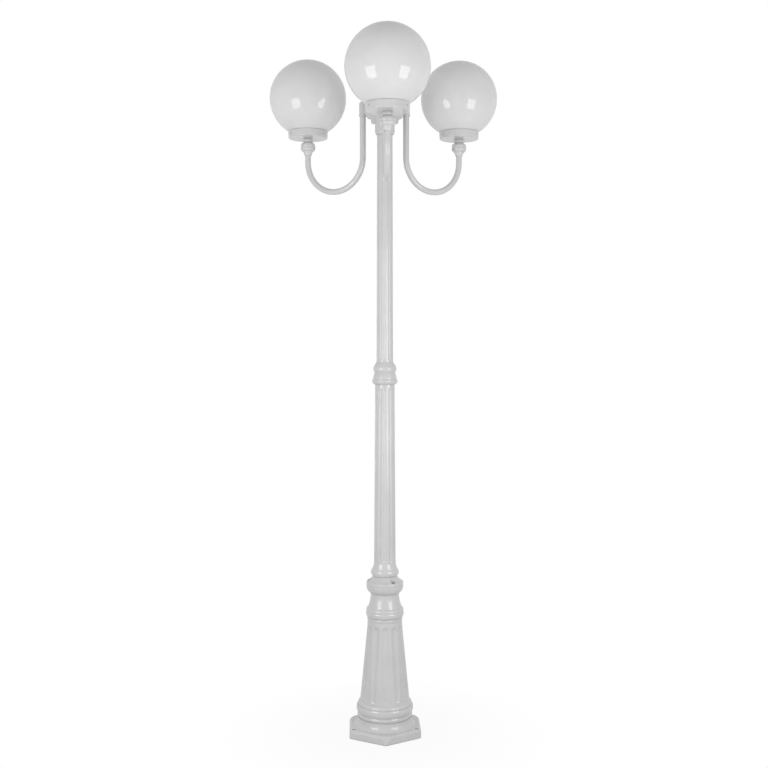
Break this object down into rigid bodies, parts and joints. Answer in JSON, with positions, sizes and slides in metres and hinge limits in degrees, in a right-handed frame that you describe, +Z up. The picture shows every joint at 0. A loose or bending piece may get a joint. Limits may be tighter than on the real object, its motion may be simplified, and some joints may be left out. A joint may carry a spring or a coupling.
{
  "type": "lamp post",
  "caption": "Free-standing garden lamp post with a fluted column, curved arms and opal globe heads, bolted down through a hexagonal foot.",
  "frame": {"origin": "centre of the hexagonal foot's underside", "axes": "+Z up the post, -Y towards the front head, +X to the right of a person who faces the front head"},
  "size_m": [0.7398, 0.674, 2.13],
  "materials": {
    "white_paint": "gloss white paint on cast aluminium",
    "opal_globe": "opal white, glossy",
    "gasket_rubber": "matt black",
    "zinc_steel": "zinc plated",
    "brass": "plain turned brass",
    "porcelain": "glazed porcelain",
    "bulb_glass": "frosted",
    "terminal_plastic": "moulded"
  },
  "bodies": {
    "post": {"pedestal": "white_paint", "lower_column": "white_paint", "flange_screws": "zinc_steel", "joint_collar": "white_paint", "upper_column": "white_paint", "arm_hub": "white_paint", "hub_cap": "white_paint", "hub_cap_nut": "white_paint", "arm_set_screws": "zinc_steel", "knob_set_screws": "zinc_steel", "knob_washers": "white_paint", "nipple_nuts": "brass", "terminal_plate": "zinc_steel", "terminal_block": "terminal_plastic", "terminal_screws": "zinc_steel", "earth_screw": "brass", "arm_left": "white_paint", "knob_left": "white_paint", "nipple_left": "brass", "fitter_left": "white_paint", "globe_gasket_left": "gasket_rubber", "lampholder_left": "porcelain", "arm_right": "white_paint", "knob_right": "white_paint", "nipple_right": "brass", "fitter_right": "white_paint", "globe_gasket_right": "gasket_rubber", "lampholder_right": "porcelain", "arm_front": "white_paint", "knob_front": "white_paint", "nipple_front": "brass", "fitter_front": "white_paint", "globe_gasket_front": "gasket_rubber", "lampholder_front": "porcelain"},
    "globe_left": {"globe_left": "opal_globe"},
    "bulb_left": {"bulb_left": "bulb_glass"},
    "globe_screw_left_1": {"globe_screw_left_1": "white_paint"},
    "globe_screw_left_2": {"globe_screw_left_2": "white_paint"},
    "globe_screw_left_3": {"globe_screw_left_3": "white_paint"},
    "globe_right": {"globe_right": "opal_globe"},
    "bulb_right": {"bulb_right": "bulb_glass"},
    "globe_screw_right_1": {"globe_screw_right_1": "white_paint"},
    "globe_screw_right_2": {"globe_screw_right_2": "white_paint"},
    "globe_screw_right_3": {"globe_screw_right_3": "white_paint"},
    "globe_front": {"globe_front": "opal_globe"},
    "bulb_front": {"bulb_front": "bulb_glass"},
    "globe_screw_front_1": {"globe_screw_front_1": "white_paint"},
    "globe_screw_front_2": {"globe_screw_front_2": "white_paint"},
    "globe_screw_front_3": {"globe_screw_front_3": "white_paint"}
  },
  "joints": [
    {"name": "globe_left_lift", "type": "slide", "parent": "post", "child": "globe_left", "axis": [0, 0, 1], "range_m": [0, 0.26]},
    {"name": "bulb_left_unscrew", "type": "hinge", "parent": "post", "child": "bulb_left", "pos_m": [-0.24595, 0.142, 1.92], "axis": [0, 0, 1], "range_deg": [0, 1080]},
    {"name": "globe_screw_left_1_travel", "type": "slide", "parent": "post", "child": "globe_screw_left_1", "axis": [-0.866, -0.5, 0], "range_m": [0, 0.006]},
    {"name": "globe_screw_left_2_travel", "type": "slide", "parent": "post", "child": "globe_screw_left_2", "axis": [0.866, -0.5, 0], "range_m": [0, 0.006]},
    {"name": "globe_screw_left_3_travel", "type": "slide", "parent": "post", "child": "globe_screw_left_3", "axis": [0, 1, 0], "range_m": [0, 0.006]},
    {"name": "globe_right_lift", "type": "slide", "parent": "post", "child": "globe_right", "axis": [0, 0, 1], "range_m": [0, 0.26]},
    {"name": "bulb_right_unscrew", "type": "hinge", "parent": "post", "child": "bulb_right", "pos_m": [0.24595, 0.142, 1.92], "axis": [0, 0, 1], "range_deg": [0, 1080]},
    {"name": "globe_screw_right_1_travel", "type": "slide", "parent": "post", "child": "globe_screw_right_1", "axis": [0, 1, 0], "range_m": [0, 0.006]},
    {"name": "globe_screw_right_2_travel", "type": "slide", "parent": "post", "child": "globe_screw_right_2", "axis": [-0.866, -0.5, 0], "range_m": [0, 0.006]},
    {"name": "globe_screw_right_3_travel", "type": "slide", "parent": "post", "child": "globe_screw_right_3", "axis": [0.866, -0.5, 0], "range_m": [0, 0.006]},
    {"name": "globe_front_lift", "type": "slide", "parent": "post", "child": "globe_front", "axis": [0, 0, 1], "range_m": [0, 0.26]},
    {"name": "bulb_front_unscrew", "type": "hinge", "parent": "post", "child": "bulb_front", "pos_m": [0, -0.284, 1.92], "axis": [0, 0, 1], "range_deg": [0, 1080]},
    {"name": "globe_screw_front_1_travel", "type": "slide", "parent": "post", "child": "globe_screw_front_1", "axis": [0.866, -0.5, 0], "range_m": [0, 0.006]},
    {"name": "globe_screw_front_2_travel", "type": "slide", "parent": "post", "child": "globe_screw_front_2", "axis": [0, 1, 0], "range_m": [0, 0.006]},
    {"name": "globe_screw_front_3_travel", "type": "slide", "parent": "post", "child": "globe_screw_front_3", "axis": [-0.866, -0.5, 0], "range_m": [0, 0.006]}
  ]
}
